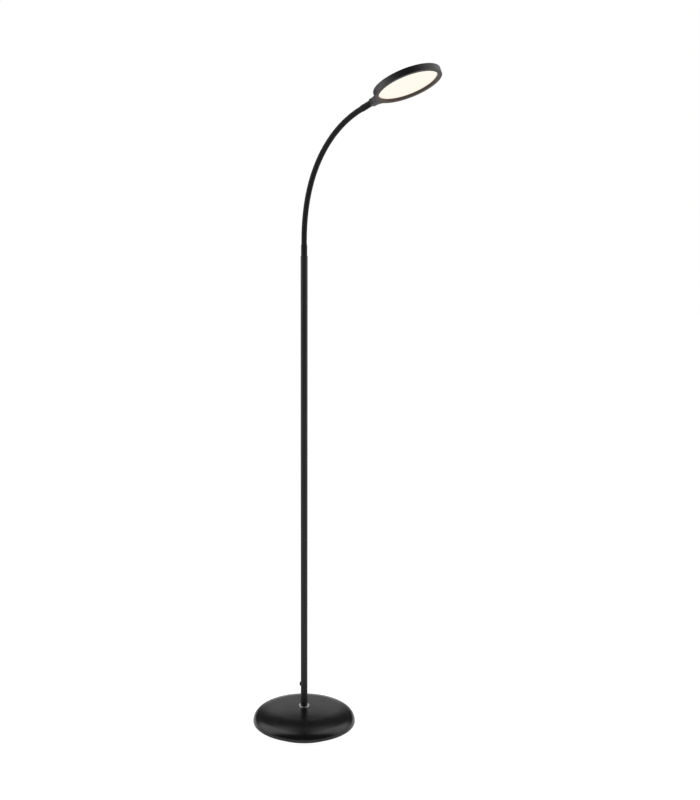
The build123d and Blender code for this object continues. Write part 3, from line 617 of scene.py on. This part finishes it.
class LAMP_OT_base(LampOperator, bpy.types.Operator):
    """Finish the base: satin painted dome, cast weight, plate, screws, pad and the bright ring at the pole"""

    bl_idname = "lamp.base"
    bl_label = "Finish the base"

    def execute(self, context):
        tone = context.scene.lamp_finishes.base_paint
        dress(coated("satin_base_paint", tone, 0.22, grain=1100.0, depth=FINE_DEPTH, dust=0.004), "base_cover")
        iron = coated("cast_iron_weight", (0.10, 0.10, 0.105), 0.75, grain=500.0, depth=0.0002, contrast=0.25)
        dress(iron, "base_weight")
        dress(metal("plate_steel", (0.42, 0.42, 0.43), 0.35), "base_plate")
        dress(metal("zinc_plating", ZINC, 0.28), "base_plate_screws", "base_washer", "base_nut", "base_stud")
        dress(coated("soft_pad", (0.022, 0.022, 0.022), 0.9, grain=420.0, depth=0.0002), "base_pad")
        dress(metal("bright_ring", (0.52, 0.52, 0.53), 0.16, contrast=0.03), "collar_ring")
        return {"FINISHED"}


class LAMP_OT_pole(LampOperator, bpy.types.Operator):
    """Finish the pole: satin painted tubes, plated joiners, power inlet and driver board"""

    bl_idname = "lamp.pole"
    bl_label = "Finish the pole"

    def execute(self, context):
        tone = context.scene.lamp_finishes.pole_paint
        paint = coated("satin_pole_paint", tone, 0.42, grain=1400.0, depth=FINE_DEPTH, Specular_IOR_Level=0.42)
        dress(paint, "pole_lower", "pole_middle", "pole_upper")
        zinc = metal("joiner_plating", ZINC, 0.3, stretch=(1.0, 1.0, 8.0), lines=400.0)
        dress(zinc, "pole_foot_insert", "lower_joiner_stud", "lower_joiner_insert", "upper_joiner_stud",
              "upper_joiner_insert", "pole_top_insert")
        dress(coated("inlet_plastic", (0.009, 0.009, 0.010), 0.5, grain=1800.0), "inlet_housing")
        dress(metal("inlet_brass", (0.70, 0.52, 0.25), 0.2), "inlet_pin")
        dress(coated("wire_insulation", BLACK_VINYL, 0.45), "inlet_wires")
        dress(coated("driver_board", (0.02, 0.12, 0.05), 0.4, grain=900.0), "driver_board")
        return {"FINISHED"}


class LAMP_OT_neck_skin(LampOperator, bpy.types.Operator):
    """Make the neck's matte rubber skin: one walled tube for each joint, flared over the ferrules"""

    bl_idname = "lamp.neck_skin"
    bl_label = "Make the neck's skin"

    def execute(self, context):
        neck = context.scene.lamp_neck
        knots = neck_knots(neck.head_reach)
        total = knots[0][-1]
        tone = context.scene.lamp_finishes.neck_skin
        rubber = coated("neck_rubber", tone, 0.62, grain=1600.0, coordinates="UV", Specular_IOR_Level=0.3)
        covered = span_pieces("sleeve")
        corners = np.linspace(0, neck.lip_rounding, neck.lip_rows) + neck.end_gap
        taper = neck.flare_length + np.linspace(-STEP_WIDTH, neck.flare_taper, neck.taper_rows)
        special = np.concatenate([corners, taper, total - corners, total - taper])
        for number, (first, last) in enumerate(joint_spans(knots)):
            run = np.concatenate([np.linspace(first, last, neck.skin_rows), special])
            low, high = max(first, neck.end_gap), min(last, total - neck.end_gap)
            run = np.unique(np.round(run[(run >= low) & (run <= high)], RUN_DECIMALS))
            both = np.concatenate([run, run[::-1]])
            radius = np.concatenate([skin_radius(run, total, neck), skin_bore(run, total, neck)[::-1]])
            mesh = tube_mesh(f"neck_skin_{number + 1:02d}", rings(both, radius, neck.around, knots), both, True)
            piece = add_piece(mesh, rubber)
            ride_joint(piece)
            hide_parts(*covered[number])
        return {"FINISHED"}


class LAMP_OT_neck_spiral(LampOperator, bpy.types.Operator):
    """Make the wound steel inside the skin: one grooved tube for each joint, and finish the ferrules"""

    bl_idname = "lamp.neck_spiral"
    bl_label = "Make the neck's spiral"

    def execute(self, context):
        neck = context.scene.lamp_neck
        knots = neck_knots(neck.head_reach)
        total = knots[0][-1]
        steel = coated("spiral_steel", (0.32, 0.32, 0.33), 0.3, coordinates="UV", Metallic=1.0)
        covered = span_pieces("core")
        columns = neck.around // 2
        turn = np.arange(columns) / columns
        for number, (first, last) in enumerate(joint_spans(knots)):
            low, high = max(first, neck.ferrule_floor), min(last, total - neck.ferrule_floor)
            run = np.linspace(low, high, int((high - low) / neck.spiral_pitch * neck.turn_rows))
            phase = run[:, None] / neck.spiral_pitch - turn[None, :]
            outside = neck.spiral_radius - neck.spiral_depth * (0.5 + 0.5 * np.cos(2 * np.pi * phase)) ** 2
            inside = np.full_like(outside, neck.spiral_bore)
            both = np.concatenate([run, run[::-1]])
            points = rings(both, np.concatenate([outside, inside]), columns, knots)
            mesh = tube_mesh(f"neck_spiral_{number + 1:02d}", points, both, True)
            piece = add_piece(mesh, steel)
            ride_joint(piece)
            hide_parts(*covered[number])
        dress(metal("ferrule_plating", ZINC, 0.25), "neck_lower_ferrule", "neck_upper_ferrule")
        return {"FINISHED"}


class LAMP_OT_wire(LampOperator, bpy.types.Operator):
    """Make the wire that runs inside the pole and the neck to the light: one length for each joint"""

    bl_idname = "lamp.wire"
    bl_label = "Make the wire"

    def execute(self, context):
        neck = context.scene.lamp_neck
        knots = neck_knots(neck.head_reach)
        spans = joint_spans(knots)
        low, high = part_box("lead")
        foot = low.z - knots[1][0][2]
        tip_place, tip_heading = knots[1][-1], knots[2][-1]
        beyond = (high.x - neck.wire_radius * math.sin(tip_heading) - tip_place[0]) / math.cos(tip_heading)
        black = coated("lead_insulation", BLACK_VINYL, 0.45, coordinates="UV")
        for number, (first, last) in enumerate(spans):
            start = foot if number == 0 else first
            end = knots[0][-1] + beyond if number == len(spans) - 1 else last
            run = np.linspace(start, end, max(neck.wire_rows, int((end - start) / neck.wire_step)))
            points = rings(run, np.full(len(run), neck.wire_radius), neck.around // 4, knots)
            mesh = tube_mesh(f"wire_{number + 1:02d}", points, run, False)
            piece = add_piece(mesh, black)
            ride_joint(piece)
            if number == 0:
                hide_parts("lead")
        return {"FINISHED"}


class LAMP_OT_head(LampOperator, bpy.types.Operator):
    """Finish the lamp head: moulded shell, front ring, glowing panel and what lies behind it"""

    bl_idname = "lamp.head"
    bl_label = "Finish the lamp head"

    def execute(self, context):
        finishes = context.scene.lamp_finishes
        dress(coated("head_plastic", finishes.head_shell, 0.42, grain=1300.0, contrast=0.08), "head_housing")
        dress(coated("bezel_plastic", finishes.bezel, 0.50, grain=1300.0, contrast=0.08), "head_bezel")
        dress(glowing_panel("opal_panel", finishes), "diffuser")
        dress(clear_sheet("clear_acrylic"), "light_guide")
        dress(coated("white_film", (0.85, 0.85, 0.84), 0.5), "reflector_sheet")
        dress(coated("strip_film", (0.80, 0.78, 0.70), 0.4), "led_strip")
        dress(coated("phosphor", (0.85, 0.70, 0.20), 0.35, grain=3000.0), "led_chips")
        dress(metal("pan_aluminium", (0.72, 0.73, 0.74), 0.3, stretch=(0.02, 1.0, 0.02)), "back_plate")
        dress(coated("foam", (0.12, 0.12, 0.12), 0.95, grain=600.0, depth=0.0004), "foam_pads")
        dress(metal("set_screw_steel", (0.10, 0.10, 0.10), 0.35), "neck_set_screw")
        return {"FINISHED"}


class LAMP_OT_studio(LampOperator, bpy.types.Operator):
    """Set up the studio: camera, two softboxes, a pale floor and a white background"""

    bl_idname = "lamp.studio"
    bl_label = "Set up the studio"

    def execute(self, context):
        studio = context.scene.lamp_studio
        self.add_camera(context, studio)
        sizes = np.linspace(1 - studio.box_edge, 1 + studio.box_edge, studio.box_layers)
        for side, name in ((-1, "softbox_left"), (1, "softbox_right")):
            for size in sizes:
                self.add_softbox(context, studio, side, name, size, size**2 / np.sum(sizes**2))
        self.add_floor(studio)
        self.set_world(context, studio)
        context.scene.view_settings.view_transform = "Standard"
        return {"FINISHED"}

    def add_camera(self, context, studio):
        """A camera in the place from which the lamp is seen."""
        data = bpy.data.cameras.new("lamp_camera")
        data.lens, data.sensor_width = studio.lens, studio.sensor
        data.shift_x, data.shift_y = studio.shift
        camera = bpy.data.objects.new("lamp_camera", data)
        camera.location = studio.camera_place
        camera.rotation_euler = (math.pi / 2 - studio.camera_pitch, 0, studio.camera_turn)
        context.scene.collection.objects.link(camera)
        context.scene.camera = camera

    def add_softbox(self, context, studio, side, name, size, share):
        """One layer of a lit panel high on one side of the camera, which faces the foot of the lamp.

        A panel's layers lie behind each other, the larger ones further back, so it fades towards its edge.
        """
        data = bpy.data.lights.new(name, "AREA")
        data.shape, data.size, data.size_y = "RECTANGLE", size * studio.box_width, size * studio.box_tall
        data.energy = share * studio.box_power * (1 - side * studio.box_lean)
        heading = studio.camera_turn - math.pi / 2 + side * studio.box_spread
        lamp = bpy.data.objects.new(name, data)
        away = studio.box_distance * (1 + studio.box_depth * size)
        flat, up = away * math.cos(studio.box_rise), away * math.sin(studio.box_rise)
        lamp.location = (flat * math.cos(heading), flat * math.sin(heading), up)
        lamp.rotation_euler = (math.pi / 2 - studio.box_rise, 0, heading + math.pi / 2)
        context.scene.collection.objects.link(lamp)

    def add_floor(self, studio):
        """A square of floor, white to the eye except where the lamp shades it, and less bright in the gloss."""
        half = studio.floor_size / 2
        mesh = bpy.data.meshes.new("floor")
        mesh.from_pydata([(-half, -half, 0), (half, -half, 0), (half, half, 0), (-half, half, 0)], [], [(0, 1, 2, 3)])
        material, tree, skin = new_material("floor_paper")
        vector = surface(tree, "Object")
        texture = use_group(tree, shared("surface_grain", grain_group), vector, Grain=400.0, Cloud=3.0)
        face = mix_colours(tree, texture.outputs["Tone"], (0.80, 0.80, 0.80), (0.83, 0.83, 0.83))
        tree.links.new(face, skin.inputs["Base Color"])
        set_values(skin, Roughness=1.0, Specular_IOR_Level=0.0)
        seen = tree.nodes.new("ShaderNodeAddShader")
        matte, glow = tree.nodes.new("ShaderNodeBsdfDiffuse"), tree.nodes.new("ShaderNodeEmission")
        matte.inputs["Color"].default_value = (studio.floor_shade, studio.floor_shade, studio.floor_shade, 1)
        path = tree.nodes.new("ShaderNodeLightPath")
        strength = between(tree, path.outputs["Is Camera Ray"], studio.floor_gloss, studio.floor_seen)
        tree.links.new(strength, glow.inputs["Strength"])
        tree.links.new(matte.outputs[0], seen.inputs[0])
        tree.links.new(glow.outputs[0], seen.inputs[1])
        mix = tree.nodes.new("ShaderNodeMixShader")
        tree.links.new(self.seen_rays(tree), mix.inputs[0])
        tree.links.new(skin.outputs[0], mix.inputs[1])
        tree.links.new(seen.outputs[0], mix.inputs[2])
        tree.links.new(mix.outputs[0], tree.nodes["Material Output"].inputs["Surface"])
        floor = add_piece(mesh, material)
        floor.location.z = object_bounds()[0].z
        floor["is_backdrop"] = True

    def seen_rays(self, tree):
        """1 for camera, glossy and transmission rays, 0 for the rays that light the object."""
        path = tree.nodes.new("ShaderNodeLightPath")
        any_ray = math_node(tree, "MAXIMUM", path.outputs["Is Camera Ray"], path.outputs["Is Glossy Ray"])
        return math_node(tree, "MAXIMUM", any_ray, path.outputs["Is Transmission Ray"])

    def share(self, tree, way):
        """How much of a direction in the world goes one way."""
        coordinates, dot = tree.nodes.new("ShaderNodeTexCoord"), tree.nodes.new("ShaderNodeVectorMath")
        dot.operation = "DOT_PRODUCT"
        dot.inputs[1].default_value = way
        tree.links.new(coordinates.outputs["Generated"], dot.inputs[0])
        return dot.outputs["Value"]

    def set_world(self, context, studio):
        """White where it is seen, an even plain light otherwise, and in the gloss a paper wall in a dim room.

        The wall stands where the camera looks: a way is on it when it goes forwards, its sideways share of the
        forward share is small and its upward share of it is below the wall's top. It is brighter higher up.
        """
        world = bpy.data.worlds.new("studio")
        world.use_nodes = True
        world.cycles.sampling_method = "NONE"
        tree = world.node_tree
        tree.nodes.clear()
        path = tree.nodes.new("ShaderNodeLightPath")
        white, mirror, fill = (tree.nodes.new("ShaderNodeBackground") for _ in range(3))
        for node in (white, mirror, fill):
            node.inputs["Color"].default_value = (1, 1, 1, 1)
        fill.inputs["Strength"].default_value = studio.fill
        ahead = (-math.sin(studio.camera_turn), math.cos(studio.camera_turn), 0)
        beside = (math.cos(studio.camera_turn), math.sin(studio.camera_turn), 0)
        forward, sideways, upward = (self.share(tree, way) for way in (ahead, beside, (0, 0, 1)))
        side = math_node(tree, "DIVIDE", math_node(tree, "ABSOLUTE", sideways, 0.0), forward)
        height = math_node(tree, "DIVIDE", upward, forward)
        within = spread(tree, side, studio.paper_side, studio.paper_side - studio.paper_side_fade)
        below = spread(tree, height, studio.paper_top, studio.paper_top - studio.paper_top_fade)
        ahead_only = math_node(tree, "GREATER_THAN", forward, 0.0)
        wall = math_node(tree, "MULTIPLY", math_node(tree, "MULTIPLY", within, below), ahead_only)
        light = between(tree, spread(tree, height, 0.0, studio.paper_full), studio.paper_foot, 1.0)
        lit_wall = math_node(tree, "MULTIPLY", wall, light)
        tree.links.new(between(tree, lit_wall, studio.room, studio.paper), mirror.inputs["Strength"])
        lit, final = tree.nodes.new("ShaderNodeMixShader"), tree.nodes.new("ShaderNodeMixShader")
        tree.links.new(path.outputs["Is Glossy Ray"], lit.inputs[0])
        tree.links.new(fill.outputs[0], lit.inputs[1])
        tree.links.new(mirror.outputs[0], lit.inputs[2])
        seen = math_node(tree, "MAXIMUM", path.outputs["Is Camera Ray"], path.outputs["Is Transmission Ray"])
        tree.links.new(seen, final.inputs[0])
        tree.links.new(lit.outputs[0], final.inputs[1])
        tree.links.new(white.outputs[0], final.inputs[2])
        output = tree.nodes.new("ShaderNodeOutputWorld")
        tree.links.new(final.outputs[0], output.inputs["Surface"])
        context.scene.world = world


class LAMP_PT_panel(bpy.types.Panel):
    """The lamp's panel in the 3D view's sidebar"""

    bl_idname = "LAMP_PT_panel"
    bl_label = "Reading Lamp"
    bl_space_type = "VIEW_3D"
    bl_region_type = "UI"
    bl_category = "Lamp"

    def draw(self, context):
        for settings in (context.scene.lamp_finishes, context.scene.lamp_neck, context.scene.lamp_studio):
            box = self.layout.box()
            for name in settings.__annotations__:
                box.prop(settings, name)
        for operator in OPERATORS:
            self.layout.operator(operator.bl_idname)


OPERATORS = (
    LAMP_OT_base,
    LAMP_OT_pole,
    LAMP_OT_neck_skin,
    LAMP_OT_neck_spiral,
    LAMP_OT_wire,
    LAMP_OT_head,
    LAMP_OT_studio,
)
CLASSES = (LampFinishes, LampNeck, LampStudio, *OPERATORS, LAMP_PT_panel)


def register():
    """Make the lamp's settings, operators and panel known."""
    for each in CLASSES:
        bpy.utils.register_class(each)
    bpy.types.Scene.lamp_finishes = PointerProperty(type=LampFinishes)
    bpy.types.Scene.lamp_neck = PointerProperty(type=LampNeck)
    bpy.types.Scene.lamp_studio = PointerProperty(type=LampStudio)


def unregister():
    """Take them away again."""
    del bpy.types.Scene.lamp_studio
    del bpy.types.Scene.lamp_neck
    del bpy.types.Scene.lamp_finishes
    for each in reversed(CLASSES):
        bpy.utils.unregister_class(each)


def main():
    """Finish and make every piece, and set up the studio."""
    register()
    bpy.ops.lamp.base()
    bpy.ops.lamp.pole()
    bpy.ops.lamp.neck_skin()
    bpy.ops.lamp.neck_spiral()
    bpy.ops.lamp.wire()
    bpy.ops.lamp.head()
    bpy.ops.lamp.studio()


if __name__ == "__main__":
    main()
